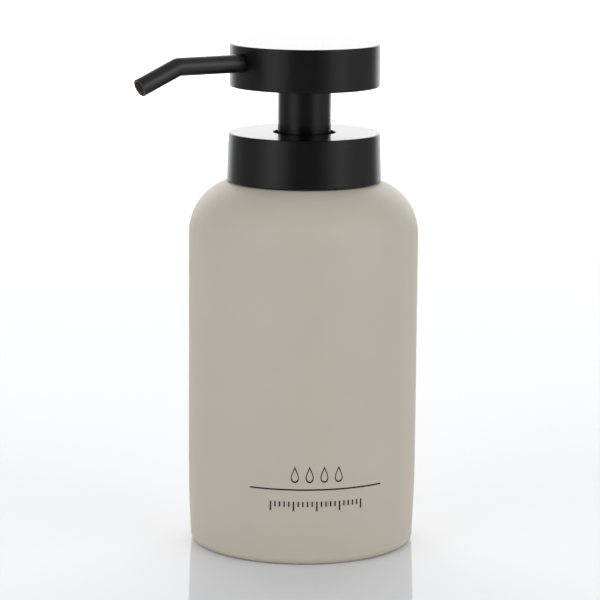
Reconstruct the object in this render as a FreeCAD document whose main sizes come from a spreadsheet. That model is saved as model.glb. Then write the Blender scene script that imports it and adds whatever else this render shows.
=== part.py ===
"""Soap pump dispenser: a ceramic bottle with a screw-on lotion pump.

Millimetres, +Z up. The origin is the centre of the base. The nozzle leaves the head along -X,
and XZ is the plane of symmetry. Every turned piece is a half profile in the XZ plane, written as
(radius, height) expressions on the sheet of sizes and revolved about Z.
"""
import FreeCAD, Part
import math
import os
import re
import Sketcher

doc = FreeCAD.newDocument("soap_pump_dispenser")

# ---------------------------------------------------------------- driving sizes
SIZES = [
    # bottle
    ("bottle_radius", 37.5),
    ("bottle_wall", 4.2),
    ("bottle_floor", 5.0),
    ("shoulder_radius", 17.6),
    ("shoulder_height", 102.8),
    ("mouth_radius", 17.6),
    ("foot_draw", 0.75),
    ("foot_rise", 30.0),
    ("foot_edge", 2.4),
    ("foot_ring", 5.0),
    ("foot_recess", 1.2),
    ("inner_corner", 6.0),
    # threaded ring in the mouth
    ("ring_bore", 16.2),
    ("ring_depth", 10.0),
    ("ring_flange", 1.2),
    ("ring_top", 130.6),
    ("glue_gap", 0.1),
    ("thread_root", 18.8),
    ("thread_crest", 19.9),
    ("thread_pitch", 3.0),
    ("thread_turns", 1.5),
    ("thread_start", 122.9),
    ("ridge_foot", 1.6),
    ("ridge_crest", 0.7),
    # gasket and pump flange
    ("gasket_thick", 1.0),
    ("flange_radius", 18.6),
    ("flange_thick", 1.4),
    ("seat_gap", 0.05),
    # collar shell and its threaded insert
    ("collar_foot_radius", 25.2),
    ("collar_top_radius", 24.7),
    ("collar_foot", 120.0),
    ("collar_top", 135.7),
    ("collar_plate", 1.2),
    ("collar_hole", 10.2),
    ("collar_edge", 0.6),
    ("insert_radius", 23.85),
    ("insert_root", 20.5),
    ("insert_crest", 19.25),
    ("insert_foot", 120.9),
    ("insert_hole", 11.2),
    # pump housing
    ("well_radius", 12.9),
    ("well_bore", 11.9),
    ("well_floor", 118.4),
    ("well_floor_thick", 1.4),
    ("cylinder_radius", 8.2),
    ("cylinder_bore", 7.0),
    ("cylinder_floor", 82.0),
    ("chamber_radius", 2.9),
    ("seat_top", 80.6),
    ("inlet_radius", 1.4),
    ("tail_radius", 4.2),
    ("tail_foot", 67.0),
    ("cone_foot", 75.6),
    ("cone_top", 80.8),
    ("tube_stop", 77.0),
    ("vent_height", 105.8),
    ("vent_radius", 0.45),
    # retaining cap with the stem guide
    ("cap_flange_thick", 1.6),
    ("cap_skirt_foot", 113.55),
    ("guide_top", 133.5),
    ("guide_radius", 6.4),
    ("guide_bore", 4.26),
    ("wiper_radius", 5.4),
    ("wiper_depth", 1.2),
    ("wiper_thick", 1.0),
    # stem and plunger
    ("stem_radius", 4.2),
    ("stem_bore", 2.4),
    ("stem_foot", 112.0),
    ("stem_top", 157.5),
    ("stop_radius", 6.0),
    ("stop_thick", 1.5),
    ("tip_radius", 5.6),
    ("tip_foot", 105.0),
    ("tip_thick", 2.0),
    ("neck_radius", 3.0),
    ("port_radius", 0.9),
    ("tip_bore", 1.4),
    ("piston_radius", 6.95),
    ("piston_bore", 3.4),
    ("piston_height", 3.48),
    ("piston_lip", 0.9),
    ("piston_waist", 0.45),
    ("slip_gap", 0.02),
    ("spigot_length", 5.6),
    # spring, its seat, the ball and the dip tube
    ("seat_radius", 6.9),
    ("seat_thick", 1.2),
    ("dome_height", 4.2),
    ("dome_radius", 3.9),
    ("dome_thick", 0.9),
    ("spring_wire", 0.45),
    ("spring_radius", 5.15),
    ("spring_coils", 8.0),
    ("ball_radius", 2.25),
    ("ball_height", 80.9),
    ("dip_radius", 2.9),
    ("dip_bore", 2.1),
    ("dip_foot", 8.2),
    ("dip_slant", 35.0),
    # head
    ("head_radius", 24.45),
    ("head_foot", 150.8),
    ("head_top", 164.6),
    ("head_wall", 1.0),
    ("head_plate", 1.2),
    ("head_edge", 0.5),
    ("core_gap", 0.05),
    ("core_foot", 151.4),
    ("core_floor", 1.6),
    ("core_rim", 1.4),
    ("core_rim_height", 3.0),
    ("hub_radius", 7.6),
    ("hub_foot", 148.0),
    ("hub_top", 162.6),
    ("socket_bore", 4.25),
    ("boss_radius", 4.15),
    ("ring_seat_radius", 5.5),
    ("ring_seat_depth", 1.5),
    ("ring_seat_height", 148.8),
    ("socket_ring", 4.86),
    ("socket_cord", 0.62),
    # sleeve round the stem
    ("sleeve_radius", 8.65),
    ("sleeve_wall", 1.0),
    ("sleeve_foot", 133.8),
    # nozzle
    ("nozzle_radius", 2.95),
    ("nozzle_bore", 2.35),
    ("nozzle_height", 159.1),
    ("nozzle_start", 9.5),
    ("nozzle_bend", 47.5),
    ("nozzle_bend_radius", 3.3),
    ("nozzle_drop", 23.5),
    ("nozzle_lip", 15.1),
    ("nozzle_hole", 3.0),
    ("nozzle_socket", 3.0),
    ("nozzle_ring", 3.32),
    ("nozzle_cord", 0.35),
    ("nozzle_ring_reach", 22.0),
]

sheet = doc.addObject("Spreadsheet::Sheet", "sizes")
for row, (alias, value) in enumerate(SIZES, start=1):
    sheet.set(f"A{row}", alias)
    sheet.set(f"B{row}", str(value))
    sheet.setAlias(f"B{row}", alias)
doc.recompute()


def bound(expression):
    """The expression with each size, a word with an underscore, read from the sheet."""
    return re.sub(r"\b([a-z]+_[a-z_]+)\b", r"sizes.\1", str(expression))


def value(expression):
    """The number that an expression on the sheet gives now."""
    result = sheet.evalExpression(bound(expression))
    return float(getattr(result, "Value", result))


# ---------------------------------------------------------------- building blocks
def body(name):
    """One sub-part: a PartDesign body whose label is the node's name."""
    made = doc.addObject("PartDesign::Body", name)
    made.Label = name
    return made


def plane(owner, role):
    """One of the body's own origin planes or axes."""
    return next(item for item in owner.Origin.OriginFeatures if item.Role == role)


def sketch_on(owner, name, role, offset="0"):
    """An empty sketch on an origin plane, moved along the plane's normal by an expression."""
    made = owner.newObject("Sketcher::SketchObject", name)
    made.AttachmentSupport = [(plane(owner, role), "")]
    made.MapMode = "FlatFace"
    if offset != "0":
        made.setExpression("AttachmentOffset.Base.z", bound(offset))
    return made


def hold(sketch, kind, expression, *where):
    """Add one driving constraint and bind it to an expression."""
    index = sketch.addConstraint(Sketcher.Constraint(kind, *where, value(expression)))
    sketch.setExpression(f"Constraints[{index}]", bound(expression))


def fix_point(sketch, edge, end, across, up):
    """Hold an edge's end at (across, up); a zero is held on the axis itself."""
    if value(across) == 0:
        sketch.addConstraint(Sketcher.Constraint("PointOnObject", edge, end, -2))
    else:
        hold(sketch, "DistanceX", across, -1, 1, edge, end)
    if value(up) == 0:
        sketch.addConstraint(Sketcher.Constraint("PointOnObject", edge, end, -1))
    else:
        hold(sketch, "DistanceY", up, -1, 1, edge, end)


def arc_between(start, end, radius, left):
    """The short arc from start to end, with its centre to the left or the right of that way.
    Every arc is made anticlockwise, so one with its centre to the right runs backwards."""
    middle = (start + end) * 0.5
    along = end - start
    half = along.Length / 2
    side = FreeCAD.Vector(-along.y, along.x, 0).normalize() * (1 if left else -1)
    centre = middle + side * math.sqrt(max(radius**2 - half**2, 0))
    bulge = centre + (middle - centre).normalize() * radius
    return Part.Arc(start, bulge, end) if left else Part.Arc(end, bulge, start)


def outline(sketch, corners):
    """A closed loop through the corners, each (across, up) and, when the edge to the next corner
    is an arc, its radius expression and the side its centre lies on."""
    places = [FreeCAD.Vector(value(c[0]), value(c[1]), 0) for c in corners]
    count = len(corners)
    for i, corner in enumerate(corners):
        start = places[i]
        end = places[(i + 1) % count]
        if len(corner) == 2:
            sketch.addGeometry(Part.LineSegment(start, end))
        else:
            sketch.addGeometry(arc_between(start, end, value(corner[2]), corner[3] == "left"))
    for i, corner in enumerate(corners):
        before = (i - 1) % count
        start_of_this = arc_end(sketch, i, places[i])
        end_of_before = arc_end(sketch, before, places[i])
        joint = Sketcher.Constraint("Coincident", before, end_of_before, i, start_of_this)
        sketch.addConstraint(joint)
        fix_point(sketch, i, start_of_this, corner[0], corner[1])
        if len(corner) == 4:
            hold(sketch, "Radius", corner[2], i)


def arc_end(sketch, edge, place):
    """1 or 2: which end of an edge, its start or its end, lies at a place."""
    shape = sketch.Geometry[edge]
    return 1 if (shape.StartPoint - place).Length < (shape.EndPoint - place).Length else 2


def turned(owner, name, corners, cut=False):
    """Revolve a half profile about Z, adding to the body or cutting from it."""
    sketch = sketch_on(owner, name + "_profile", "XZ_Plane")
    outline(sketch, corners)
    kind = "PartDesign::Groove" if cut else "PartDesign::Revolution"
    made = owner.newObject(kind, name)
    made.Profile = sketch
    made.ReferenceAxis = (sketch, ["V_Axis"])
    made.Angle = 360
    return made


def round_sketch(owner, name, role, circles, offset="0"):
    """Circles, each (across, up, radius), on an origin plane."""
    sketch = sketch_on(owner, name, role, offset)
    for across, up, radius in circles:
        place = FreeCAD.Vector(value(across), value(up), 0)
        index = sketch.addGeometry(
            Part.Circle(place, FreeCAD.Vector(0, 0, 1), value(radius)), False
        )
        fix_point(sketch, index, 3, across, up)
        hold(sketch, "Radius", radius, index)
    return sketch


def pushed(owner, name, sketch, length, cut=False, reverse=False):
    """Pad a sketch along its plane's normal, or pocket it the other way."""
    made = owner.newObject("PartDesign::Pocket" if cut else "PartDesign::Pad", name)
    made.Profile = sketch
    made.Type = 0
    made.setExpression("Length", bound(length))
    made.Reversed = reverse
    return made


def helical_ridge(owner, name, root, crest, start):
    """A thread ridge of trapezoid section wound round Z for the thread's turns."""
    sketch = sketch_on(owner, name + "_profile", "XZ_Plane")
    corners = [
        (root, f"{start} - ridge_foot / 2"),
        (crest, f"{start} - ridge_crest / 2"),
        (crest, f"{start} + ridge_crest / 2"),
        (root, f"{start} + ridge_foot / 2"),
    ]
    outline(sketch, corners)
    doc.recompute()
    made = owner.newObject("PartDesign::AdditiveHelix", name)
    made.Profile = sketch
    made.ReferenceAxis = (sketch, ["V_Axis"])
    made.Mode = "pitch-turns-angle"
    made.setExpression("Pitch", bound("thread_pitch"))
    made.setExpression("Turns", bound("thread_turns"))
    return made


# ---------------------------------------------------------------- bottle
def bottle_body():
    """Thick ceramic: foot ring, drawn-in foot, straight side, round shoulder, open mouth."""
    made = body("bottle_body")
    side_sweep = "((foot_rise - foot_edge)^2 + foot_draw^2) / (2 * foot_draw)"
    outer = [
        ("bottle_radius - foot_ring - foot_draw", "0"),
        ("bottle_radius - foot_draw - foot_edge", "0", "foot_edge", "left"),
        ("bottle_radius - foot_draw", "foot_edge", side_sweep, "left"),
        ("bottle_radius", "foot_rise"),
        ("bottle_radius", "shoulder_height", "shoulder_radius", "left"),
        ("bottle_radius - shoulder_radius", "shoulder_height + shoulder_radius"),
    ]
    inner = [
        ("mouth_radius", "shoulder_height + shoulder_radius"),
        ("mouth_radius", "shoulder_height + shoulder_radius - bottle_wall"),
        ("bottle_radius - shoulder_radius", "shoulder_height + shoulder_radius - bottle_wall",
         "shoulder_radius - bottle_wall", "right"),
        ("bottle_radius - bottle_wall", "shoulder_height"),
        ("bottle_radius - bottle_wall", "foot_recess + bottle_floor + inner_corner",
         "inner_corner", "right"),
        ("bottle_radius - bottle_wall - inner_corner", "foot_recess + bottle_floor"),
        ("0", "foot_recess + bottle_floor"),
        ("0", "foot_recess"),
        ("bottle_radius - foot_ring - foot_draw - foot_recess", "foot_recess"),
    ]
    turned(made, "bottle_wall_turned", outer + inner)


def neck_ring():
    """Plastic ring bonded in the mouth: sleeve, flange on the rim, threaded neck."""
    made = body("neck_ring")
    mouth_top = "shoulder_height + shoulder_radius"
    turned(made, "neck_ring_turned", [
        ("ring_bore", f"{mouth_top} - ring_depth"),
        ("mouth_radius - glue_gap", f"{mouth_top} - ring_depth"),
        ("mouth_radius - glue_gap", mouth_top),
        ("bottle_radius - shoulder_radius - glue_gap", mouth_top),
        ("bottle_radius - shoulder_radius - glue_gap", f"{mouth_top} + ring_flange"),
        ("thread_root", f"{mouth_top} + ring_flange"),
        ("thread_root", "ring_top"),
        ("ring_bore", "ring_top"),
    ])
    helical_ridge(made, "neck_thread", "thread_root - seat_gap", "thread_crest", "thread_start")


# ---------------------------------------------------------------- collar
def collar_cover():
    """Black collar shell: slightly tapered wall, flat top with the stem's hole."""
    made = body("collar_cover")
    inner_wall = "insert_radius + core_gap"
    turned(made, "collar_cover_turned", [
        (inner_wall, "collar_foot"),
        ("collar_foot_radius", "collar_foot"),
        ("collar_top_radius", "collar_top - collar_edge", "collar_edge", "left"),
        ("collar_top_radius - collar_edge", "collar_top"),
        ("collar_hole", "collar_top"),
        ("collar_hole", "collar_top - collar_plate"),
        (inner_wall, "collar_top - collar_plate"),
    ])


def collar_thread_insert():
    """Plastic insert in the collar: web that holds the pump flange, skirt with the thread."""
    made = body("collar_thread_insert")
    web = "ring_top + gasket_thick + flange_thick + seat_gap"
    turned(made, "insert_turned", [
        ("insert_root", "insert_foot"),
        ("insert_radius", "insert_foot"),
        ("insert_radius", "collar_top - collar_plate"),
        ("insert_hole", "collar_top - collar_plate"),
        ("insert_hole", web),
        ("insert_root", web),
    ])
    half_pitch_up = "(thread_start + thread_pitch / 2)"
    helical_ridge(made, "insert_thread", "insert_root + seat_gap", "insert_crest", half_pitch_up)


# ---------------------------------------------------------------- pump below the collar
def neck_gasket():
    """Flat sealing ring between the neck's rim and the pump's flange."""
    made = body("neck_gasket")
    turned(made, "gasket_turned", [
        ("well_radius + seat_gap", "ring_top"),
        ("flange_radius", "ring_top"),
        ("flange_radius", "ring_top + gasket_thick"),
        ("well_radius + seat_gap", "ring_top + gasket_thick"),
    ])


def pump_housing():
    """Flange, spring well, cylinder, ball chamber with its conical seat, dip tube socket."""
    made = body("pump_housing")
    flange_foot = "ring_top + gasket_thick"
    turned(made, "housing_turned", [
        ("flange_radius", flange_foot),
        ("flange_radius", f"{flange_foot} + flange_thick"),
        ("well_bore", f"{flange_foot} + flange_thick"),
        ("well_bore", "well_floor"),
        ("cylinder_bore", "well_floor"),
        ("cylinder_bore", "cylinder_floor"),
        ("chamber_radius", "cylinder_floor"),
        ("chamber_radius", "seat_top"),
        ("inlet_radius", "seat_top - chamber_radius + inlet_radius"),
        ("inlet_radius", "tube_stop"),
        ("dip_radius", "tube_stop"),
        ("dip_radius", "tail_foot"),
        ("tail_radius", "tail_foot"),
        ("tail_radius", "cone_foot"),
        ("cylinder_radius", "cone_top"),
        ("cylinder_radius", "well_floor - well_floor_thick"),
        ("well_radius", "well_floor - well_floor_thick"),
        ("well_radius", flange_foot),
    ])
    doc.recompute()
    vent = round_sketch(made, "vent_profile", "YZ_Plane", [("0", "vent_height", "vent_radius")])
    pushed(made, "vent_hole", vent, "well_radius", cut=True, reverse=True)


def retaining_cap():
    """Chaplet: flange on the well's floor, skirt that stops the stem, guide with a seal seat."""
    made = body("retaining_cap")
    turned(made, "cap_turned", [
        ("guide_bore", "cap_skirt_foot"),
        ("cylinder_bore - seat_gap", "cap_skirt_foot"),
        ("cylinder_bore - seat_gap", "well_floor"),
        ("well_bore - seat_gap", "well_floor"),
        ("well_bore - seat_gap", "well_floor + cap_flange_thick"),
        ("guide_radius", "well_floor + cap_flange_thick"),
        ("guide_radius", "guide_top"),
        ("wiper_radius", "guide_top"),
        ("wiper_radius", "guide_top - wiper_depth"),
        ("guide_bore", "guide_top - wiper_depth"),
    ])


def stem_wiper():
    """Seal ring seated in the top of the guide, just clear of the stem."""
    made = body("stem_wiper")
    turned(made, "wiper_turned", [
        ("guide_bore", "guide_top - wiper_depth"),
        ("wiper_radius", "guide_top - wiper_depth"),
        ("wiper_radius", "guide_top - wiper_depth + wiper_thick"),
        ("guide_bore", "guide_top - wiper_depth + wiper_thick"),
    ])


def ball_cage():
    """Spring seat on the cylinder's floor, with a ported dome that keeps the ball in."""
    made = body("ball_cage")
    dome_top = "cylinder_floor + dome_height"
    turned(made, "cage_turned", [
        ("chamber_radius", "cylinder_floor"),
        ("seat_radius", "cylinder_floor"),
        ("seat_radius", "cylinder_floor + seat_thick"),
        ("dome_radius", "cylinder_floor + seat_thick"),
        ("dome_radius", dome_top),
        ("port_radius", dome_top),
        ("port_radius", f"{dome_top} - dome_thick"),
        ("chamber_radius", f"{dome_top} - dome_thick"),
    ])


def inlet_ball():
    """Steel ball resting on the conical inlet seat."""
    made = doc.addObject("Part::Sphere", "inlet_ball")
    made.Label = "inlet_ball"
    made.setExpression("Radius", bound("ball_radius"))
    made.setExpression("Placement.Base.z", bound("ball_height"))


def dip_tube():
    """Straight tube from the housing's socket to just above the bottle's floor, cut aslant."""
    made = body("dip_tube")
    turned(made, "dip_turned", [
        ("dip_bore", "dip_foot"),
        ("dip_radius", "dip_foot"),
        ("dip_radius", "tube_stop"),
        ("dip_bore", "tube_stop"),
    ])
    doc.recompute()
    slant = sketch_on(made, "slant_profile", "XZ_Plane")
    outline(slant, [
        ("-dip_radius - seat_gap", "dip_foot - seat_gap"),
        ("dip_radius + seat_gap", "dip_foot - seat_gap"),
        ("dip_radius + seat_gap", "dip_foot - seat_gap + 2 * dip_radius * tan(dip_slant)"),
    ])
    cut = pushed(made, "slant_cut", slant, "dip_radius * 3", cut=True)
    cut.Midplane = True


def return_spring():
    """Compression spring between the ball cage and the plunger tip, built from the sheet."""
    foot = value("cylinder_floor + seat_thick + spring_wire")
    top = value("tip_foot - spring_wire")
    coils = value("spring_coils")
    radius = value("spring_radius")
    wire = value("spring_wire")
    path = Part.makeHelix((top - foot) / coils, top - foot, radius)
    section = Part.Wire(Part.makeCircle(wire, FreeCAD.Vector(radius, 0, 0), FreeCAD.Vector(0, 1, 0)))
    coil = Part.Wire(path.Edges).makePipeShell([section], True, True)
    made = doc.addObject("Part::Feature", "return_spring")
    made.Label = "return_spring"
    made.Shape = coil
    made.Placement = FreeCAD.Placement(FreeCAD.Vector(0, 0, foot), FreeCAD.Rotation())


# ---------------------------------------------------------------- plunger
def stem_tube():
    """Hollow stem with the stop ring at its foot that meets the retaining cap."""
    made = body("stem_tube")
    turned(made, "stem_turned", [
        ("stem_bore", "stem_foot"),
        ("stop_radius", "stem_foot"),
        ("stop_radius", "stem_foot + stop_thick"),
        ("stem_radius", "stem_foot + stop_thick"),
        ("stem_radius", "stem_top"),
        ("stem_bore", "stem_top"),
    ])


def plunger_tip():
    """Valve head below the piston, neck with a cross port, hollow spigot pressed in the stem."""
    made = body("plunger_tip")
    spigot_top = "stem_foot + spigot_length"
    turned(made, "tip_turned", [
        ("0", "tip_foot"),
        ("tip_radius", "tip_foot"),
        ("tip_radius", "tip_foot + tip_thick"),
        ("neck_radius", "tip_foot + tip_thick"),
        ("neck_radius", "stem_foot"),
        ("stem_bore", "stem_foot"),
        ("stem_bore", spigot_top),
        ("tip_bore", spigot_top),
        ("tip_bore", "tip_foot + tip_thick + port_radius"),
        ("0", "tip_foot + tip_thick + port_radius"),
    ])
    doc.recompute()
    port_height = "tip_foot + tip_thick + 2 * port_radius"
    port = round_sketch(made, "port_profile", "YZ_Plane", [("0", port_height, "port_radius")])
    cut = pushed(made, "cross_port", port, "neck_radius * 3", cut=True)
    cut.Midplane = True


def piston_seal():
    """Piston that slides on the neck between the valve head and the stem's foot."""
    made = body("piston_seal")
    foot = "tip_foot + tip_thick + slip_gap"
    top = f"{foot} + piston_height"
    turned(made, "piston_turned", [
        ("piston_bore", foot),
        ("piston_radius", foot),
        ("piston_radius", f"{foot} + piston_lip"),
        ("piston_radius - piston_waist", f"{foot} + piston_lip + piston_waist"),
        ("piston_radius - piston_waist", f"{top} - piston_lip - piston_waist"),
        ("piston_radius", f"{top} - piston_lip"),
        ("piston_radius", top),
        ("piston_bore", top),
    ])


# ---------------------------------------------------------------- head
def head_cover():
    """Black drum shell, open below, with the nozzle's hole in its side."""
    made = body("head_cover")
    turned(made, "head_cover_turned", [
        ("head_radius - head_wall", "head_foot"),
        ("head_radius", "head_foot"),
        ("head_radius", "head_top - head_edge", "head_edge", "left"),
        ("head_radius - head_edge", "head_top"),
        ("0", "head_top"),
        ("0", "head_top - head_plate"),
        ("head_radius - head_wall", "head_top - head_plate"),
    ])
    doc.recompute()
    hole = round_sketch(
        made, "nozzle_hole_profile", "YZ_Plane", [("0", "nozzle_height", "nozzle_hole")]
    )
    pushed(made, "nozzle_hole_cut", hole, "head_radius + head_wall", cut=True)


def head_core():
    """Moulded core: floor, rim and hub, with the stem's socket and the way to the nozzle."""
    made = body("head_core")
    rim_outer = "head_radius - head_wall - core_gap"
    floor_top = "core_foot + core_floor"
    turned(made, "core_turned", [
        ("0", "hub_top"),
        ("hub_radius", "hub_top"),
        ("hub_radius", floor_top),
        (f"{rim_outer} - core_rim", floor_top),
        (f"{rim_outer} - core_rim", "core_foot + core_rim_height"),
        (rim_outer, "core_foot + core_rim_height"),
        (rim_outer, "core_foot"),
        ("hub_radius", "core_foot"),
        ("hub_radius", "hub_foot"),
        ("0", "hub_foot"),
    ])
    doc.recompute()
    boss = round_sketch(
        made, "boss_profile", "YZ_Plane", [("0", "nozzle_height", "boss_radius")], "-hub_radius / 2"
    )
    boss_reach = "head_radius - head_wall - core_rim - hub_radius / 2"
    pushed(made, "boss", boss, boss_reach, reverse=True)
    doc.recompute()
    turned(made, "stem_socket", [
        ("0", "hub_foot"),
        ("ring_seat_radius", "hub_foot"),
        ("ring_seat_radius", "hub_foot + ring_seat_depth"),
        ("socket_bore", "hub_foot + ring_seat_depth"),
        ("socket_bore", "stem_top + core_gap"),
        ("neck_radius", "stem_top + core_gap"),
        ("neck_radius", "nozzle_height + nozzle_bore"),
        ("0", "nozzle_height + nozzle_bore"),
    ], cut=True)
    doc.recompute()
    passage = round_sketch(
        made, "passage_profile", "YZ_Plane", [("0", "nozzle_height", "nozzle_bore")]
    )
    pushed(made, "passage", passage, "nozzle_start + core_gap", cut=True)
    doc.recompute()
    socket = round_sketch(
        made, "socket_profile", "YZ_Plane", [("0", "nozzle_height", "nozzle_socket")], "-nozzle_start"
    )
    pushed(made, "nozzle_socket_cut", socket, "head_radius", cut=True)
    doc.recompute()
    seat = round_sketch(
        made,
        "ring_seat_profile",
        "YZ_Plane",
        [("0", "nozzle_height", "nozzle_ring + nozzle_cord + seat_gap")],
        "-nozzle_ring_reach + nozzle_cord * 2 + seat_gap",
    )
    pushed(made, "ring_seat_cut", seat, "head_radius", cut=True)


def socket_o_ring():
    """O-ring in the hub's foot, just clear of the stem it turns on."""
    made = doc.addObject("Part::Torus", "socket_o_ring")
    made.Label = "socket_o_ring"
    made.setExpression("Radius1", bound("socket_ring"))
    made.setExpression("Radius2", bound("socket_cord"))
    made.setExpression("Placement.Base.z", bound("ring_seat_height"))


def nozzle_o_ring():
    """O-ring round the nozzle in the mouth of its boss."""
    made = doc.addObject("Part::Torus", "nozzle_o_ring")
    made.Label = "nozzle_o_ring"
    made.setExpression("Radius1", bound("nozzle_ring"))
    made.setExpression("Radius2", bound("nozzle_cord"))
    made.Placement = FreeCAD.Placement(
        FreeCAD.Vector(), FreeCAD.Rotation(FreeCAD.Vector(0, 1, 0), 90)
    )
    made.setExpression("Placement.Base.x", bound("-nozzle_ring_reach + nozzle_cord"))
    made.setExpression("Placement.Base.z", bound("nozzle_height"))


def stem_sleeve():
    """Black sleeve that hangs from the head and hides the stem."""
    made = body("stem_sleeve")
    turned(made, "sleeve_turned", [
        ("sleeve_radius - sleeve_wall", "sleeve_foot"),
        ("sleeve_radius", "sleeve_foot"),
        ("sleeve_radius", "core_foot"),
        ("sleeve_radius - sleeve_wall", "core_foot"),
    ])


def nozzle_tube():
    """Bent tube: a level run out of the head, one arc, then a straight lip that drops."""
    made = body("nozzle_tube")
    height = value("nozzle_height")
    drop = math.radians(value("nozzle_drop"))
    bend = value("nozzle_bend")
    setback = value("nozzle_bend_radius") * math.tan(drop / 2)
    lip = value("nozzle_lip")
    down = FreeCAD.Vector(-math.cos(drop), -math.sin(drop), 0)
    corner = FreeCAD.Vector(-bend, height, 0)
    start = FreeCAD.Vector(-value("nozzle_start"), height, 0)
    arc_start = corner + FreeCAD.Vector(setback, 0, 0)
    arc_stop = corner + down * setback
    tip = corner + down * lip
    path = sketch_on(made, "nozzle_path", "XZ_Plane")
    path.addGeometry(Part.LineSegment(start, arc_start))
    path.addGeometry(arc_between(arc_start, arc_stop, value("nozzle_bend_radius"), True))
    path.addGeometry(Part.LineSegment(arc_stop, tip))
    at_start = arc_end(path, 1, arc_start)
    path.addConstraint(Sketcher.Constraint("Tangent", 0, 2, 1, at_start))
    path.addConstraint(Sketcher.Constraint("Tangent", 1, 3 - at_start, 2, 1))
    path.addConstraint(Sketcher.Constraint("Horizontal", 0))
    fix_point(path, 0, 1, "-nozzle_start", "nozzle_height")
    hold(path, "Radius", "nozzle_bend_radius", 1)
    hold(path, "DistanceX", "-nozzle_bend + nozzle_bend_radius * tan(nozzle_drop / 2)", -1, 1, 0, 2)
    hold(path, "Distance", "nozzle_lip - nozzle_bend_radius * tan(nozzle_drop / 2)", 2)
    tip_height = "nozzle_height - nozzle_lip * sin(nozzle_drop)"
    hold(path, "DistanceY", tip_height, -1, 1, 2, 2)
    section = round_sketch(
        made,
        "nozzle_section",
        "YZ_Plane",
        [("0", "nozzle_height", "nozzle_radius"), ("0", "nozzle_height", "nozzle_bore")],
        "-nozzle_start",
    )
    doc.recompute()
    pipe = made.newObject("PartDesign::AdditivePipe", "nozzle_pipe")
    pipe.Profile = section
    pipe.Spine = path


# ---------------------------------------------------------------- build, check and write
BUILDERS = [
    bottle_body,
    neck_ring,
    collar_cover,
    collar_thread_insert,
    neck_gasket,
    pump_housing,
    retaining_cap,
    stem_wiper,
    ball_cage,
    inlet_ball,
    dip_tube,
    return_spring,
    stem_tube,
    plunger_tip,
    piston_seal,
    head_cover,
    head_core,
    socket_o_ring,
    nozzle_o_ring,
    stem_sleeve,
    nozzle_tube,
]

for builder in BUILDERS:
    builder()
    doc.recompute()

failed = [item.Label for item in doc.Objects if {"Invalid", "Error"} & set(item.State)]
if failed:
    raise RuntimeError(f"failed: {failed}")

os.makedirs("parts", exist_ok=True)
for builder in BUILDERS:
    node = builder.__name__
    shape = doc.getObject(node).Shape
    if shape.isNull() or not shape.isValid() or len(shape.Solids) != 1:
        raise RuntimeError(f"{node} is not one valid solid")
    low = shape.BoundBox
    print(f"{node:22s} {shape.Volume:10.1f} mm3  z {low.ZMin:8.2f} {low.ZMax:8.2f}  x {low.XMin:8.2f}")
    shape.exportStep(f"parts/{node}.step")
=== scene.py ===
"""Looks of the soap pump dispenser: turned shells, bent spout, printed marks, finishes and studio.

Metres. +Z is up, the origin is the centre of the bottle's base and the spout points along -X.
Turned pieces are a rounded half profile carried round Z; places come from the CAD frame.
"""
import math

import bmesh
import bpy
import numpy as np
from mathutils import Matrix, Vector


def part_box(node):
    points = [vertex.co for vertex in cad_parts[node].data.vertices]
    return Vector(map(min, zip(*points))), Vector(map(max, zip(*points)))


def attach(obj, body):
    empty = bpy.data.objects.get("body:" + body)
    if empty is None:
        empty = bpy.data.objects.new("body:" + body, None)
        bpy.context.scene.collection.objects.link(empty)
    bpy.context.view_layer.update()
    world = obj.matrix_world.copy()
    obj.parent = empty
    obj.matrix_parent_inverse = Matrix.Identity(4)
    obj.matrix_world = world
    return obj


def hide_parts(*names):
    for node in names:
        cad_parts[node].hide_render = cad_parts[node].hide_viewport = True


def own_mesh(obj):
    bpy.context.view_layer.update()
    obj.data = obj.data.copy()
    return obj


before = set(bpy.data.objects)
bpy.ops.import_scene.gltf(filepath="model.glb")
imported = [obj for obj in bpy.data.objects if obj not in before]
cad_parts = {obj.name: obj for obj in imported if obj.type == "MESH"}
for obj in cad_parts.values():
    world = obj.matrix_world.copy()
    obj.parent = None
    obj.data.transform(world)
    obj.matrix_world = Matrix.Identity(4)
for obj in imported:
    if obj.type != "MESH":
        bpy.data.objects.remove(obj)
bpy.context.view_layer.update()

MM = 0.001
TURN = 2 * math.pi
AROUND = 256                      # columns round a large turned piece
GUARD = 0.25 * MM                 # a shading row this far from each rounded corner
ARC_PITCH = 0.5 * MM              # spacing of points along a large arc
ARC_LEAST = 5                     # fewest pieces in a small rounding
LEAST_HALF = 1e-6                 # half angle in radians that a folded corner counts as
CREASE = math.radians(32)         # edges sharper than this stay sharp
MERGE = 0.0001 * MM               # points closer than this become one


# ---------------------------------------------------------------- places read from the frame
def low(node, axis):
    """A node's lowest coordinate along an axis, in metres."""
    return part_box(node)[0][axis]


def high(node, axis):
    """A node's highest coordinate along an axis, in metres."""
    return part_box(node)[1][axis]


BOTTLE_R = high("bottle_body", 1)
BOTTLE_TOP = high("bottle_body", 2)
RING_TOP = high("neck_ring", 2)
RING_FOOT = low("neck_ring", 2)
COLLAR_R = high("collar_cover", 1)
COLLAR_FOOT = low("collar_cover", 2)
COLLAR_TOP = high("collar_cover", 2)
INSERT_R = high("collar_thread_insert", 1)
INSERT_FOOT = low("collar_thread_insert", 2)
INSERT_TOP = high("collar_thread_insert", 2)
HEAD_R = high("head_cover", 1)
HEAD_FOOT = low("head_cover", 2)
HEAD_TOP = high("head_cover", 2)
SLEEVE_R = high("stem_sleeve", 1)
SLEEVE_FOOT = low("stem_sleeve", 2)
SLEEVE_TOP = high("stem_sleeve", 2)
SPOUT_R = high("nozzle_tube", 1)
SPOUT_START = high("nozzle_tube", 0)
SPOUT_TIP = low("nozzle_tube", 0)
SPOUT_Z = high("nozzle_tube", 2) - SPOUT_R
SPRING_FOOT = low("return_spring", 2)
SPRING_TOP = high("return_spring", 2)
SPRING_R = high("return_spring", 1)

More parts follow.
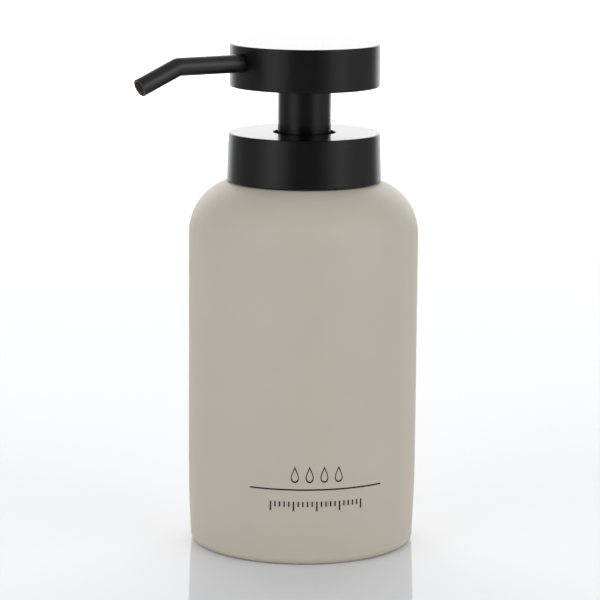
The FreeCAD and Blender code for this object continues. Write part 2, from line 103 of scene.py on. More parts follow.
# ---------------------------------------------------------------- sizes the frame doesn't give
SHOULDER = 17.6 * MM              # radius of the shoulder's arc
BOTTLE_WALL = 4.2 * MM
BOTTLE_FLOOR = 5.0 * MM
INNER_CORNER = 6.0 * MM           # rounding between the bottle's wall and floor, inside
MOUTH_R = 17.6 * MM               # radius of the bottle's opening
FOOT_DRAW = 0.75 * MM             # how far the side draws in towards the foot
FOOT_RISE = 30.0 * MM             # height at which the draw starts
FOOT_EDGE = 2.4 * MM              # rounding of the foot's outer edge
FOOT_RECESS = 1.2 * MM            # depth of the hollow under the bottle
FOOT_RING = 5.0 * MM              # width of the foot round it, with its edge
GLUE_GAP = 0.1 * MM               # the neck ring is this much inside the bottle's mouth and flat top
SHELL_GAP = 0.05 * MM             # between the collar's shell and the insert in it
COLLAR_TOP_R = 24.7 * MM
COLLAR_HOLE = 10.2 * MM           # radius of the hole that the stem runs through
SHELL_PLATE = 1.2 * MM            # thickness of the flat top of collar and head
SLEEVE_WALL = 1.0 * MM
THREAD_PITCH = 3.0 * MM
THREAD_TURNS = 1.5
THREAD_START = 122.9 * MM         # height where the neck's thread starts
RIDGE_FOOT = 1.6 * MM             # width of the thread's ridge at its foot
RIDGE_CREST = 0.7 * MM            # and at its crest
HEAD_WALL = 1.0 * MM
HEAD_HOLE = 3.0 * MM              # radius of the hole that the spout comes out of
SPOUT_BORE = 2.35 * MM            # radius of the spout's bore
SPOUT_BEND = 47.5 * MM            # from the pump's axis to the corner of the spout's bend
SPOUT_BEND_R = 3.3 * MM
SPOUT_DROP = math.radians(23.5)   # how far the spout's lip points down
SPRING_WIRE = 0.45 * MM           # radius of the spring's wire
SPRING_COILS = 8
VIEW_TURN = math.radians(-32.5)   # the camera stands this far round from straight in front
PRINT_TURN = VIEW_TURN + math.radians(7.6)


# ---------------------------------------------------------------- meshes from grids of points
def grid_faces(rows, columns, wrap):
    """Quads of a grid stored row by row; wrap joins the last column to the first."""
    i = np.arange(rows - 1)[:, None]
    j = np.arange(columns if wrap else columns - 1)[None, :]
    k = (j + 1) % columns
    return np.stack([i * columns + j, i * columns + k, (i + 1) * columns + k, (i + 1) * columns + j], -1)


def shell(name, blocks, body, materials, smooth=True, choice=None):
    """One closed piece from blocks, each (points of shape rows x columns x 3, wrap, kept faces or
    None). Shared edges and poles are merged and the faces turned outwards. Choice is a material
    number for each face, in order."""
    points = []
    faces = []
    count = 0
    for grid, wrap, kept in blocks:
        rows, columns, _ = grid.shape
        quads = grid_faces(rows, columns, wrap)
        quads = quads.reshape(-1, 4) if kept is None else quads[kept]
        points.append(grid.reshape(-1, 3))
        faces.append(quads + count)
        count += rows * columns
    mesh = bpy.data.meshes.new(name)
    mesh.from_pydata(np.concatenate(points).tolist(), [], np.concatenate(faces).tolist())
    for material in materials:
        mesh.materials.append(material)
    if choice is not None:
        mesh.polygons.foreach_set("material_index", choice)
    work = bmesh.new()
    work.from_mesh(mesh)
    bmesh.ops.remove_doubles(work, verts=work.verts, dist=MERGE)
    bmesh.ops.recalc_face_normals(work, faces=work.faces)
    work.to_mesh(mesh)
    work.free()
    mesh.polygons.foreach_set("use_smooth", np.full(len(mesh.polygons), smooth))
    if smooth:
        mesh.set_sharp_from_angle(angle=CREASE)
    piece = bpy.data.objects.new(name, mesh)
    bpy.context.scene.collection.objects.link(piece)
    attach(piece, body)
    return piece


def rounded(corners, closed=True):
    """A half profile through corners (radius, height, rounding). Each rounding is the arc tangent
    to both sides: its centre lies on the bisector at rounding / sin(half the corner's angle), and
    its ends lie at rounding / tan(half) from the corner. A guard row follows where there is room."""
    places = np.array([c[:2] for c in corners], float)
    rounding = np.array([c[2] for c in corners], float)
    if not closed:
        rounding[[0, -1]] = 0
    back = np.roll(places, 1, axis=0) - places
    ahead = np.roll(places, -1, axis=0) - places
    back_length = np.linalg.norm(back, axis=1)
    ahead_length = np.linalg.norm(ahead, axis=1)
    back = back / back_length[:, None]
    ahead = ahead / ahead_length[:, None]
    half = np.arccos(np.clip((back * ahead).sum(1), -1, 1)) / 2
    run = np.where(rounding > 0, rounding / np.tan(np.maximum(half, LEAST_HALF)), 0)
    room_back = back_length - run - np.roll(run, 1) > 3 * GUARD
    room_ahead = ahead_length - run - np.roll(run, -1) > 3 * GUARD
    line = []
    for i, here in enumerate(places):
        if rounding[i] == 0:
            line.append(here[None])
            continue
        bisector = (back[i] + ahead[i]) / np.linalg.norm(back[i] + ahead[i])
        centre = here + bisector * rounding[i] / math.sin(half[i])
        start = here + back[i] * run[i] - centre
        stop = here + ahead[i] * run[i] - centre
        sweep = math.pi - 2 * half[i]
        steps = max(ARC_LEAST, math.ceil(rounding[i] * sweep / ARC_PITCH))
        t = np.linspace(0, 1, steps + 1)[:, None]
        arc = centre + (np.sin((1 - t) * sweep) * start + np.sin(t * sweep) * stop) / math.sin(sweep)
        if room_back[i]:
            line.append((here + back[i] * (run[i] + GUARD))[None])
        line.append(arc)
        if room_ahead[i]:
            line.append((here + ahead[i] * (run[i] + GUARD))[None])
    if closed:
        line.append(line[0][:1])
    return np.concatenate(line)


def carried_round(profile, around=AROUND):
    """Each profile point (r, z) at angle a becomes (r cos a, r sin a, z)."""
    a = np.arange(around) * TURN / around
    r = profile[:, :1]
    z = np.repeat(profile[:, 1:], around, axis=1)
    return np.stack([r * np.cos(a), r * np.sin(a), z], -1)


def turned(name, corners, body, materials, closed=True, around=AROUND):
    """A turned piece: the rounded half profile carried round Z."""
    grid = carried_round(rounded(corners, closed), around)
    return shell(name, [(grid, True, None)], body, materials)


# ---------------------------------------------------------------- finishes
def finish(name, colour, roughness, **sockets):
    """A material with one Principled shader whose constant sockets are set directly."""
    made = bpy.data.materials.new(name)
    made.use_nodes = True
    shader = made.node_tree.nodes["Principled BSDF"]
    shader.inputs["Base Color"].default_value = (*colour, 1)
    shader.inputs["Roughness"].default_value = roughness
    for socket, amount in sockets.items():
        shader.inputs[socket.replace("_", " ")].default_value = amount
    return made


def node(material, kind, **values):
    """Add a node and set its named inputs, or its own properties where no input has the name."""
    made = material.node_tree.nodes.new(kind)
    for key, amount in values.items():
        socket = key.replace("_", " ")
        if socket in made.inputs:
            made.inputs[socket].default_value = amount
        else:
            setattr(made, key, amount)
    return made


def link(material, source, target):
    """Join an output socket to an input socket."""
    material.node_tree.links.new(source, target)


def object_noise(material, scale, detail, stretch=(1, 1, 1)):
    """Noise on Object coordinates, stretched along the axes; returns its 0 to 1 output."""
    place = node(material, "ShaderNodeTexCoord")
    mapping = node(material, "ShaderNodeMapping", Scale=stretch)
    noise = node(material, "ShaderNodeTexNoise", Scale=scale, Detail=detail)
    link(material, place.outputs["Object"], mapping.inputs["Vector"])
    link(material, mapping.outputs["Vector"], noise.inputs["Vector"])
    return noise.outputs["Fac"]


def vary_colour(material, fac, dark, light):
    """Base colour between two close colours by a 0 to 1 pattern."""
    ramp = node(material, "ShaderNodeValToRGB")
    ramp.color_ramp.elements[0].position = 0.3
    ramp.color_ramp.elements[1].position = 0.7
    ramp.color_ramp.elements[0].color = (*dark, 1)
    ramp.color_ramp.elements[1].color = (*light, 1)
    link(material, fac, ramp.inputs["Fac"])
    shader = material.node_tree.nodes["Principled BSDF"]
    link(material, ramp.outputs["Color"], shader.inputs["Base Color"])


def vary_roughness(material, fac, least, most):
    """Roughness between two values by a 0 to 1 pattern."""
    span = node(material, "ShaderNodeMapRange", To_Min=least, To_Max=most)
    link(material, fac, span.inputs["Value"])
    shader = material.node_tree.nodes["Principled BSDF"]
    link(material, span.outputs["Result"], shader.inputs["Roughness"])


def raise_surface(material, fac, height):
    """Bump of a height in metres from a 0 to 1 pattern."""
    bump = node(material, "ShaderNodeBump", Strength=1.0, Distance=height)
    link(material, fac, bump.inputs["Height"])
    shader = material.node_tree.nodes["Principled BSDF"]
    link(material, bump.outputs["Normal"], shader.inputs["Normal"])


def scaled(colour, factor):
    """A colour made lighter or darker."""
    return tuple(channel * factor for channel in colour)


CLAY = (0.643, 0.591, 0.503)
ceramic = finish("bottle_matte_coat", CLAY, 0.52, Specular_IOR_Level=0.5)
vary_colour(ceramic, object_noise(ceramic, 45, 3), scaled(CLAY, 0.985), scaled(CLAY, 1.015))
raise_surface(ceramic, object_noise(ceramic, 5200, 2), 0.006 * MM)

glaze = finish("inner_glaze", (0.72, 0.70, 0.65), 0.18)
raise_surface(glaze, object_noise(glaze, 120, 2), 0.03 * MM)

BISQUE = (0.62, 0.57, 0.49)
bisque = finish("bare_foot", BISQUE, 0.85)
vary_colour(bisque, object_noise(bisque, 900, 4), scaled(BISQUE, 0.88), scaled(BISQUE, 1.08))
raise_surface(bisque, object_noise(bisque, 2600, 3), 0.03 * MM)

black = finish("black_satin_coat", (0.0025, 0.0022, 0.0022), 0.25, Specular_IOR_Level=0.25)
vary_roughness(black, object_noise(black, 900, 3), 0.23, 0.28)
raise_surface(black, object_noise(black, 3800, 2), 0.0012 * MM)

tube_coat = finish("spout_satin_coat", (0.012, 0.0112, 0.011), 0.3, Specular_IOR_Level=0.45)
vary_roughness(tube_coat, object_noise(tube_coat, 900, 3), 0.27, 0.34)
raise_surface(tube_coat, object_noise(tube_coat, 3800, 2), 0.0012 * MM)

bore_coat = finish("spout_bore", (0.115, 0.098, 0.083), 0.6)
vary_roughness(bore_coat, object_noise(bore_coat, 1500, 2), 0.55, 0.7)

core = finish("black_moulded", (0.013, 0.013, 0.013), 0.48)
vary_roughness(core, object_noise(core, 500, 3), 0.42, 0.54)
raise_surface(core, object_noise(core, 2400, 2), 0.008 * MM)

white = finish("white_moulded", (0.78, 0.78, 0.75), 0.38, Subsurface_Weight=0.15)
white.node_tree.nodes["Principled BSDF"].inputs["Subsurface Radius"].default_value = (2 * MM,) * 3
vary_roughness(white, object_noise(white, 600, 3), 0.33, 0.43)
raise_surface(white, object_noise(white, 1800, 2), 0.006 * MM)

clear = finish("natural_moulded", (0.86, 0.88, 0.87), 0.3, Transmission_Weight=0.75, IOR=1.5)
vary_roughness(clear, object_noise(clear, 260, 3), 0.24, 0.36)
raise_surface(clear, object_noise(clear, 900, 2), 0.01 * MM)

seal = finish("soft_seal", (0.66, 0.66, 0.62), 0.6)
vary_colour(seal, object_noise(seal, 700, 3), (0.62, 0.62, 0.58), (0.70, 0.70, 0.66))

wire = finish("drawn_wire", (0.60, 0.59, 0.57), 0.26, Metallic=1.0)
vary_roughness(wire, object_noise(wire, 900, 3, (1, 1, 6)), 0.2, 0.34)

steel = finish("polished_ball", (0.72, 0.72, 0.73), 0.06, Metallic=1.0)
vary_roughness(steel, object_noise(steel, 500, 2), 0.04, 0.1)

ink = finish("printed_ink", (0.013, 0.010, 0.008), 0.6, Specular_IOR_Level=0.3)
vary_roughness(ink, object_noise(ink, 3000, 2), 0.54, 0.68)


# ---------------------------------------------------------------- bottle
def bottle():
    """Foot ring, drawn-in foot, straight side, round shoulder; inside follows at the wall's depth.
    The side's draw is an arc tangent to the straight side, so it leans by asin(rise / arc radius)."""
    rise = FOOT_RISE - FOOT_EDGE
    side_r = (rise**2 + FOOT_DRAW**2) / (2 * FOOT_DRAW)
    lean = math.asin(rise / side_r)
    bend_z = FOOT_RISE - side_r * math.tan(lean / 2)
    foot_r = BOTTLE_R - bend_z * math.tan(lean)
    ring_r = BOTTLE_R - FOOT_DRAW - FOOT_RING
    inner_r = BOTTLE_R - BOTTLE_WALL
    floor_z = FOOT_RECESS + BOTTLE_FLOOR
    side_arc = 0.999 * side_r     # just short, so it ends clear of the foot's rounding
    coats = [ceramic, glaze, bisque]
    made = turned("bottle_shell", [
        (0, FOOT_RECESS, 0),
        (ring_r - FOOT_RECESS, FOOT_RECESS, 0.6 * MM),
        (ring_r, 0, 0.4 * MM),
        (foot_r, 0, FOOT_EDGE),
        (BOTTLE_R, bend_z, side_arc),
        (BOTTLE_R, BOTTLE_TOP, SHOULDER),
        (MOUTH_R, BOTTLE_TOP, 0.5 * MM),
        (MOUTH_R, BOTTLE_TOP - BOTTLE_WALL, 0.8 * MM),
        (inner_r, BOTTLE_TOP - BOTTLE_WALL, SHOULDER - BOTTLE_WALL),
        (inner_r, floor_z, INNER_CORNER),
        (0, floor_z, 0),
    ], "bottle", coats, closed=False)
    mesh = made.data
    count = len(mesh.polygons)
    centre = np.empty(count * 3)
    normal = np.empty(count * 3)
    mesh.polygons.foreach_get("center", centre)
    mesh.polygons.foreach_get("normal", normal)
    centre = centre.reshape(-1, 3)
    facing = ((centre - (0, 0, BOTTLE_TOP / 2)) * normal.reshape(-1, 3)).sum(1)
    under = centre[:, 2] < FOOT_RECESS + MERGE
    bare = under & (np.hypot(centre[:, 0], centre[:, 1]) < foot_r - FOOT_EDGE)
    outside = np.where(bare, coats.index(bisque), coats.index(ceramic))
    mesh.polygons.foreach_set("material_index", np.where(facing < 0, coats.index(glaze), outside))
    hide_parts("bottle_body")


# ---------------------------------------------------------------- prints on the bottle's front
INK_LIFT = 0.03 * MM              # the ink stands this far out of the side


def printed(name, outlines):
    """Flat marks wrapped on the bottle's side. Each is a grid of (along, height) points, and
    along / bottle radius is the angle from the print's middle; a skin below closes each mark."""
    blocks = []
    for flat in outlines:
        angle = PRINT_TURN - math.pi / 2 + flat[..., 0] / BOTTLE_R
        sides = []
        for lift in (INK_LIFT, -INK_LIFT):
            r = BOTTLE_R + lift
            sides.append(np.stack([r * np.cos(angle), r * np.sin(angle), flat[..., 1]], -1))
        top, under = sides
        blocks.append((top, False, None))
        blocks.append((under, False, None))
        for edge in (np.s_[0, :], np.s_[-1, :], np.s_[:, 0], np.s_[:, -1]):
            blocks.append((np.stack([top[edge], under[edge]]), False, None))
    shell(name, blocks, "bottle", [ink], smooth=False)


def bar(x0, x1, z0, z1, columns):
    """A rectangle of print as a grid, columns along it and one row high."""
    x = np.linspace(x0, x1, columns + 1)
    return np.stack([np.stack([x, np.full_like(x, z)], -1) for z in (z0, z1)])


def ring_mark(outer, inner, steps=40):
    """A closed band between two outlines, each a function of an angle giving (along, height)."""
    a = np.linspace(0, TURN, steps + 1)
    return np.stack([outer(a), inner(a)])


def droplet(middle, foot, height):
    """Outline of a drop: width falls off towards the tip as sin a (sin a/2)^narrowing, and the
    inner edge is the same drop, smaller by the stroke at its foot and more at its tip."""
    stroke = 0.5 * MM
    width = 0.68
    narrowing = 1.6
    shrink = 2.7 * stroke

    def edge(size, base):
        def line(a):
            x = middle + width * size / 2 * np.sin(a) * np.sin(a / 2) ** narrowing
            z = base + size * (1 + np.cos(a)) / 2
            return np.stack([x, z], -1)
        return line

    return ring_mark(edge(height, foot), edge(height - shrink, foot + stroke))


def prints():
    """A rule along the side, a row of drops over it and a row of short and tall ticks under it."""
    rule_z = 25.2 * MM
    rule_half = 0.24 * MM
    rule_start = -22.1 * MM
    rule_end = 22.9 * MM
    columns = 64
    rule = bar(rule_start, rule_end, rule_z - rule_half, rule_z + rule_half, columns)
    printed("print_rule", [rule])

    pitch = 4.75 * MM
    drop_foot = rule_z + 2.3 * MM
    drop_height = 5.5 * MM
    printed("print_drops", [droplet((i - 1.5) * pitch, drop_foot, drop_height) for i in range(4)])

    step = 1.5 * MM
    tick_half = 0.21 * MM
    top = rule_z - 3.9 * MM
    tall = 3.1 * MM
    short = 1.7 * MM
    marks = []
    for i in range(-10, 11):
        foot = top - (tall if i % 5 == 0 else short)
        marks.append(bar(i * step - tick_half, i * step + tick_half, foot, top, 1))
    printed("print_scale", marks)


# ---------------------------------------------------------------- threaded plastic
def ridge(angle, z, start):
    """0 to 1 height of the thread ridge at an angle and height: a trapezoid round the helix
    start + pitch * turns, for turns from 0 to its end, fading over a twelfth of a turn at each."""
    tall = np.zeros(np.broadcast(angle, z).shape)
    ends = 12
    for lap in range(math.ceil(THREAD_TURNS)):
        turns = angle / TURN + lap
        away = np.abs(z - start - THREAD_PITCH * turns)
        flank = (RIDGE_FOOT - RIDGE_CREST) / 2
        here = np.clip((RIDGE_FOOT / 2 - away) / flank, 0, 1)
        fade = np.clip((THREAD_TURNS - turns) * ends, 0, 1) * np.clip(turns * ends, 0, 1)
        tall = np.maximum(tall, here * fade)
    return tall


def threaded(name, chain, r, crest, z0, z1, start, body, material, stands_for):
    """A turned piece with one wall threaded: chain is the rest of its profile, from the wall's
    top round to its foot, and the wall runs from z0 up to z1 at radius r + crest * ridge."""
    rows = 72
    angle = (np.arange(AROUND) * TURN / AROUND)[None, :]
    z = np.linspace(z0, z1, rows)[:, None]
    tall = ridge(angle, z, start)
    radius = r + crest * tall
    wall = np.stack([radius * np.cos(angle), radius * np.sin(angle), np.broadcast_to(z, tall.shape)], -1)
    rest = carried_round(rounded(chain, closed=False))
    made = shell(name, [(wall, True, None), (rest, True, None)], body, [material])
    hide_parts(stands_for)


def neck_and_insert():
    """The neck's outer thread and the collar insert's inner thread."""
    root = 18.8 * MM
    crest = 1.1 * MM
    bore = 16.2 * MM
    flange_r = BOTTLE_R - SHOULDER - GLUE_GAP
    flange_z = BOTTLE_TOP + 1.2 * MM
    sleeve_r = MOUTH_R - GLUE_GAP
    wall_top = RING_TOP - 0.5 * MM
    threaded("threaded_neck", [
        (root, wall_top, 0),
        (root, RING_TOP, 0.4 * MM),
        (bore, RING_TOP, 0.4 * MM),
        (bore, RING_FOOT, 0.3 * MM),
        (sleeve_r, RING_FOOT, 0.3 * MM),
        (sleeve_r, BOTTLE_TOP, 0),
        (flange_r, BOTTLE_TOP, 0.15 * MM),
        (flange_r, flange_z, 0.3 * MM),
        (root, flange_z, 0),
    ], root, crest, flange_z, wall_top, THREAD_START, "bottle", white, "neck_ring")

    root = 20.5 * MM
    crest = -1.25 * MM
    hole = 11.2 * MM
    web = INSERT_TOP - 1.45 * MM
    start = THREAD_START + THREAD_PITCH / 2
    threaded("threaded_insert", [
        (root, web, 0),
        (hole, web, 0.2 * MM),
        (hole, INSERT_TOP, 0.2 * MM),
        (INSERT_R, INSERT_TOP, 0.3 * MM),
        (INSERT_R, INSERT_FOOT, 0.3 * MM),
        (root, INSERT_FOOT, 0),
    ], root, crest, INSERT_FOOT, web, start, "closure", core, "collar_thread_insert")


# ---------------------------------------------------------------- black shells
def collar():
    """Tapered ring with a flat top: foot wider than top, all edges softly rounded."""
    inner = INSERT_R + SHELL_GAP
    under = COLLAR_TOP - SHELL_PLATE
    made = turned("collar_shell", [
        (inner, COLLAR_FOOT, 0.15 * MM),
        (COLLAR_R, COLLAR_FOOT, 0.3 * MM),
        (COLLAR_TOP_R, COLLAR_TOP, 0.55 * MM),
        (COLLAR_HOLE, COLLAR_TOP, 0.3 * MM),
        (COLLAR_HOLE, under, 0.1 * MM),
        (inner, under, 0.1 * MM),
    ], "closure", [black])
    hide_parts("collar_cover")


def sleeve():
    """Plain tube round the stem with rounded ends."""
    made = turned("sleeve_shell", [
        (SLEEVE_R - SLEEVE_WALL, SLEEVE_FOOT, 0.2 * MM),
        (SLEEVE_R, SLEEVE_FOOT, 0.35 * MM),
        (SLEEVE_R, SLEEVE_TOP, 0.05 * MM),
        (SLEEVE_R - SLEEVE_WALL, SLEEVE_TOP, 0.05 * MM),
    ], "head", [black], around=160)
    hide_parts("stem_sleeve")


def head():
    """Drum shell with the spout's hole. The wall is a grid of angle and height; the panel round
    the hole is a rectangle of that grid blended ring by ring into the hole's circle."""
    outer = HEAD_R
    inner = HEAD_R - HEAD_WALL
    under = HEAD_TOP - SHELL_PLATE
    lip = 0.2 * MM                # rounding of the hole's two rims
    panel = 3.9 * MM              # half height of the panel
    half = 7                      # and its columns on either side of the spout
    wall_foot = HEAD_FOOT + 0.6 * MM
    wall_top = HEAD_TOP - 1.5 * MM
    rows_below = 5
    rows_beside = 14
    heights = np.concatenate([
        np.linspace(wall_foot, SPOUT_Z - panel, rows_below),
        np.linspace(SPOUT_Z - panel, SPOUT_Z + panel, rows_beside + 1)[1:],
        np.linspace(SPOUT_Z + panel, wall_top, 2)[1:],
    ])
    middle = AROUND // 2
    kept = np.ones((len(heights) - 1, AROUND), bool)
    first = rows_below - 1
    kept[first:first + rows_beside, middle - half:middle + half] = False

    offset = np.arange(-half, half + 1) * TURN / AROUND
    beside = heights[first:first + rows_beside + 1]
    rim = np.concatenate([
        np.stack([offset, np.full_like(offset, beside[0])], -1)[:-1],
        np.stack([np.full_like(beside, offset[-1]), beside], -1)[:-1],
        np.stack([offset[::-1], np.full_like(offset, beside[-1])], -1)[:-1],
        np.stack([np.full_like(beside, offset[0]), beside[::-1]], -1)[:-1],
    ])
    toward = np.arctan2(rim[:, 1] - SPOUT_Z, np.sin(rim[:, 0]) * outer)

    def circle(radius, share):
        """The hole's circle at a radius, at a share of the wall's depth: 0 outside, 1 inside."""
        across = radius * np.cos(toward)
        up = SPOUT_Z + radius * np.sin(toward)
        depth = (1 - share) * np.sqrt(outer**2 - across**2) + share * np.sqrt(inner**2 - across**2)
        return np.stack([-depth, -across, up], -1)

    def patch(radius, share):
        """Rings from the panel's edge to the hole's circle, all on the wall's cylinder."""
        rings = 6
        edge = circle(HEAD_HOLE + lip, share)
        edge_angle = np.arcsin(-edge[:, 1] / radius)
        w = np.linspace(0, 1, rings)[:, None]
        turn = math.pi + (1 - w) * rim[:, 0] + w * edge_angle
        up = (1 - w) * rim[:, 1] + w * edge[:, 2]
        return np.stack([radius * np.cos(turn), radius * np.sin(turn), up], -1)

    def wall(radius):
        """The wall's grid at one radius."""
        return carried_round(np.stack([np.full_like(heights, radius), heights], -1))

    tube = []
    bend = np.linspace(0, math.pi / 2, 4)
    opening = HEAD_HOLE + lip * (1 - np.sin(bend))
    depth = lip * (1 - np.cos(bend)) / HEAD_WALL
    for radius, share in zip(opening, depth):
        tube.append(circle(radius, share))
    for radius, share in zip(opening[::-1], depth[::-1]):
        tube.append(circle(radius, 1 - share))

    cap = carried_round(rounded([
        (outer, wall_top, 0),
        (outer, HEAD_TOP, 0.5 * MM),
        (0, HEAD_TOP, 0),
        (0, under, 0),
        (inner, under, 0),
        (inner, wall_top, 0),
    ], closed=False))
    foot = carried_round(rounded([
        (inner, wall_foot, 0),
        (inner, HEAD_FOOT, 0.15 * MM),
        (outer, HEAD_FOOT, 0.3 * MM),
        (outer, wall_foot, 0),
    ], closed=False))
    made = shell("head_shell", [
        (wall(outer), True, kept),
        (wall(inner), True, kept),
        (patch(outer, 0), True, None),
        (patch(inner, 1), True, None),
        (np.stack(tube), True, None),
        (cap, True, None),
        (foot, True, None),
    ], "head", [black])
    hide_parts("head_cover")


def spout():
    """Bent tube: level run, one arc, dropping lip. A ring of radius p at distance s along the
    path is path(s) + p (cos a, sin a) across it; the profile goes out along the outside, round
    the tip and back through the bore."""
    lip_run = (-SPOUT_TIP - SPOUT_R * math.sin(SPOUT_DROP) - SPOUT_BEND) / math.cos(SPOUT_DROP)
    set_back = SPOUT_BEND_R * math.tan(SPOUT_DROP / 2)
    level = SPOUT_BEND + SPOUT_START - set_back
    arc = SPOUT_BEND_R * SPOUT_DROP
    length = level + arc + lip_run - set_back
    edge = 0.15 * MM
    around = 64
    level_rows = 24
    arc_rows = 15
    lip_rows = 12
    edge_rows = 5
    run = np.concatenate([
        np.linspace(0, level, level_rows),
        np.linspace(level, level + arc, arc_rows)[1:],
        np.linspace(level + arc, length - edge, lip_rows)[1:],
    ])
    bend = np.linspace(0, math.pi / 2, edge_rows)
    out = np.stack([run, np.full_like(run, SPOUT_R)], -1)
    lip_out = np.stack([length - edge + edge * np.sin(bend), SPOUT_R - edge + edge * np.cos(bend)], -1)
    lip_in = np.stack([length - edge + edge * np.cos(bend), SPOUT_BORE + edge - edge * np.sin(bend)], -1)
    back = np.stack([run[::-1], np.full_like(run, SPOUT_BORE)], -1)
    start = np.array([[0, SPOUT_R]])
    profile = np.concatenate([out, lip_out[1:], lip_in, back[1:], start])

    s = profile[:, 0]
    bent = np.clip((s - level) / SPOUT_BEND_R, 0, SPOUT_DROP)
    past = np.maximum(s - level - arc, 0)
    x = SPOUT_START - np.minimum(s, level) - SPOUT_BEND_R * np.sin(bent) - past * math.cos(SPOUT_DROP)
    z = SPOUT_Z - SPOUT_BEND_R * (1 - np.cos(bent)) - past * math.sin(SPOUT_DROP)
    a = np.arange(around) * TURN / around
    p = profile[:, 1][:, None]
    across = np.cos(a) * p
    grid = np.stack([
        x[:, None] - across * np.sin(bent)[:, None],
        np.sin(a) * p,
        z[:, None] + across * np.cos(bent)[:, None],
    ], -1)
    inside = profile[:, 1] <= SPOUT_BORE + edge / 2
    choice = np.repeat((inside[:-1] & inside[1:]).astype(int), around)
    made = shell("spout", [(grid, True, None)], "head", [tube_coat, bore_coat], choice=choice)
    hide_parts("nozzle_tube")


# ---------------------------------------------------------------- spring
def spring():
    """Helix wire: the section's middle is (R cos a, R sin a, foot + rise), with the pitch closed
    up over the first and last coil by easing the rise, and round ends."""
    length = SPRING_TOP - SPRING_FOOT
    stretch = length - 2 * SPRING_WIRE
    radius = SPRING_R - SPRING_WIRE
    rows_per_coil = 48
    around = 16
    spare = 1.04                  # a closed coil rises by the wire's thickness times this
    turns = np.arange(SPRING_COILS * rows_per_coil + 1) / rows_per_coil
    closed = 2 * SPRING_WIRE * spare
    open_pitch = (stretch - 2 * closed) / (SPRING_COILS - 2)
    rise = np.minimum(turns, 1) * closed
    rise += np.clip(turns - 1, 0, SPRING_COILS - 2) * open_pitch
    rise += np.clip(turns - SPRING_COILS + 1, 0, 1) * closed
    a = turns * TURN
    b = np.arange(around) * TURN / around
    taper = np.ones_like(turns)
    taper[0] = taper[-1] = 0
    r = radius + SPRING_WIRE * taper[:, None] * np.cos(b)
    z = SPRING_FOOT + SPRING_WIRE + rise[:, None] + SPRING_WIRE * taper[:, None] * np.sin(b)
    grid = np.stack([r * np.cos(a)[:, None], r * np.sin(a)[:, None], z], -1)
    made = shell("spring_coil", [(grid, True, None)], "pump_body", [wire])
    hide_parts("return_spring")
    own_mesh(made)


def hidden_finishes():
    """Give the hidden CAD nodes, which are kept as they are, their finishes."""
    for name, material in (
        ("neck_gasket", seal),
        ("pump_housing", clear),
        ("retaining_cap", white),
        ("stem_wiper", seal),
        ("ball_cage", white),
        ("inlet_ball", steel),
        ("dip_tube", clear),
        ("stem_tube", white),
        ("plunger_tip", white),
        ("piston_seal", seal),
        ("head_core", core),
        ("socket_o_ring", seal),
        ("nozzle_o_ring", seal),
    ):
        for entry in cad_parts[name].material_slots:
            entry.material = material


# ---------------------------------------------------------------- studio
# Brightness of the surround by turn: degrees to the left of straight behind the object.
SURROUND = (
    (-180, 0.16), (-165, 0.06), (-150, 0.42), (-135, 2.0), (-120, 2.47), (-105, 1.4), (-90, 0.95),
    (-60, 0.15), (-30, 0.3), (30, 0.3), (60, 0.4), (90, 0.42), (105, 0.67), (120, 1.9),
    (135, 2.7), (150, 1.35), (165, 0.03), (180, 0.16),
)
OVERHEAD = 0.5                    # brightness of the surround overhead
SIDE_TOP = 0.35                   # upward slope, as a sine, where the sides start to fade
SIDE_END = 0.75                   # and where only the overhead brightness is left
# The screen behind the object: its share by turn, and its brightness by upward slope.
SCREEN_WIDTH = ((-180, 0), (-48, 0), (-32, 1), (32, 1), (48, 0))
SCREEN_HEIGHT = ((0, 2.3), (0.09, 2.4), (0.125, 3.8), (0.165, 1.45), (0.28, 2.05), (0.42, 4.2), (0.62, 0))


def joined(world, operation, first, second):
    """Two values, or a value and a number, put through one sum or product."""
    made = node(world, "ShaderNodeMath", operation=operation)
    for socket, source in zip(made.inputs, (first, second)):
        if isinstance(source, (int, float)):
            socket.default_value = source
        else:
            link(world, source, socket)
    return made.outputs["Value"]


def steps_of(world, source, stops):
    """A brightness read off straight ramps between stops, each (place from 0 to 1, brightness)."""
    brightest = max(amount for _, amount in stops)
    ramp = node(world, "ShaderNodeValToRGB")
    elements = ramp.color_ramp.elements
    elements.remove(elements[1])
    elements[0].position = stops[0][0]
    for i, (place, amount) in enumerate(stops):
        element = elements[0] if i == 0 else elements.new(place)
        element.color = (*(amount / brightest,) * 3, 1)
    link(world, source, ramp.inputs["Fac"])
    return joined(world, "MULTIPLY", ramp.outputs["Color"], brightest)


def by_turn(stops):
    """Stops by turn in degrees become stops of the radial gradient, which is 0.5 straight behind."""
    return [(0.5 + turn / 360, amount) for turn, amount in stops]


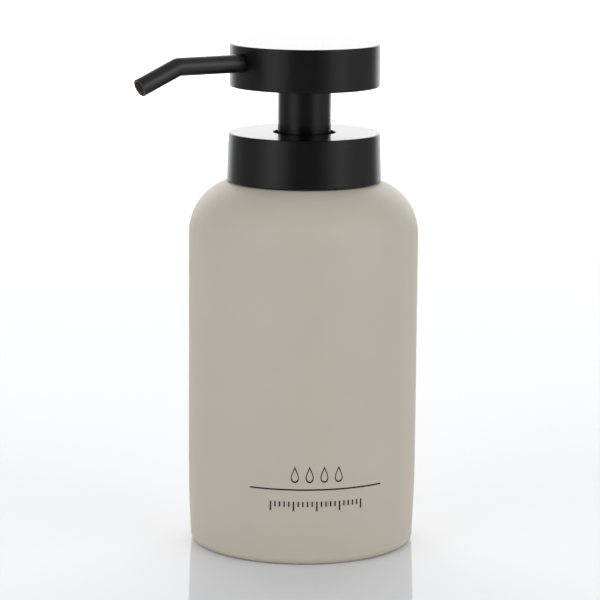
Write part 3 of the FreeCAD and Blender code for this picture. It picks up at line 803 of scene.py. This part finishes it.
def studio():
    """Glossy pale floor, and a surround of soft boxes: a brightness by turn round the object that
    fades into one overhead brightness, plus a screen behind that grows brighter upwards."""
    reach = 30.0                  # from the floor's middle to each side
    mesh = bpy.data.meshes.new("floor")
    corners = [(-reach, -reach, 0), (reach, -reach, 0), (reach, reach, 0), (-reach, reach, 0)]
    mesh.from_pydata(corners, [], [(0, 1, 2, 3)])
    floor = bpy.data.objects.new("floor", mesh)
    bpy.context.scene.collection.objects.link(floor)
    gloss = finish("glossy_floor", (0.90, 0.914, 0.948), 0.04, Specular_IOR_Level=0.09)
    vary_roughness(gloss, object_noise(gloss, 6, 2), 0.03, 0.05)
    mesh.materials.append(gloss)

    world = bpy.data.worlds.new("surround")
    bpy.context.scene.world = world
    world.use_nodes = True
    sky = world.node_tree.nodes["Background"]
    sky.inputs["Color"].default_value = (1, 1, 1, 1)
    place = node(world, "ShaderNodeTexCoord")
    facing = node(world, "ShaderNodeMapping", Rotation=(0, 0, -(math.pi / 2 + VIEW_TURN)))
    around = node(world, "ShaderNodeTexGradient", gradient_type="RADIAL")
    height = node(world, "ShaderNodeSeparateXYZ")
    link(world, place.outputs["Generated"], facing.inputs["Vector"])
    link(world, facing.outputs["Vector"], around.inputs["Vector"])
    link(world, place.outputs["Generated"], height.inputs["Vector"])

    sides = steps_of(world, around.outputs["Fac"], by_turn(SURROUND))
    fade = node(world, "ShaderNodeMapRange", interpolation_type="SMOOTHSTEP",
                From_Min=SIDE_TOP, From_Max=SIDE_END)
    link(world, height.outputs["Z"], fade.inputs["Value"])
    blend = node(world, "ShaderNodeMix", data_type="FLOAT")
    blend.inputs["B"].default_value = OVERHEAD
    link(world, fade.outputs["Result"], blend.inputs["Factor"])
    link(world, sides, blend.inputs["A"])
    width = steps_of(world, around.outputs["Fac"], by_turn(SCREEN_WIDTH))
    rise = steps_of(world, height.outputs["Z"], SCREEN_HEIGHT)
    screen = joined(world, "MULTIPLY", width, rise)
    total = joined(world, "ADD", blend.outputs["Result"], screen)
    link(world, total, sky.inputs["Strength"])


def camera():
    """Long lens looking slightly down from in front, a third of the way round to the spout."""
    pitch = math.radians(10.404)
    yaw = math.radians(0.06)
    roll = math.radians(0.45)
    place = Vector((0, -0.942, 0.253))
    right = Vector((math.cos(yaw), math.sin(yaw), 0))
    ahead = Vector((-math.sin(yaw) * math.cos(pitch), math.cos(yaw) * math.cos(pitch), -math.sin(pitch)))
    up = right.cross(ahead)
    right_rolled = right * math.cos(roll) + up * math.sin(roll)
    up_rolled = up * math.cos(roll) - right * math.sin(roll)
    turn = Matrix.Rotation(VIEW_TURN, 3, "Z")
    basis = Matrix((turn @ right_rolled, turn @ up_rolled, turn @ -ahead)).transposed()
    lens = bpy.data.cameras.new("camera")
    lens.sensor_width = 36
    lens.lens = 174.84
    lens.clip_end = 60
    made = bpy.data.objects.new("camera", lens)
    made.matrix_world = Matrix.Translation(turn @ place) @ basis.to_4x4()
    bpy.context.scene.collection.objects.link(made)
    bpy.context.scene.camera = made
    bpy.context.scene.view_settings.view_transform = "Standard"


bottle()
prints()
neck_and_insert()
collar()
sleeve()
head()
spout()
spring()
hidden_finishes()
studio()
camera()
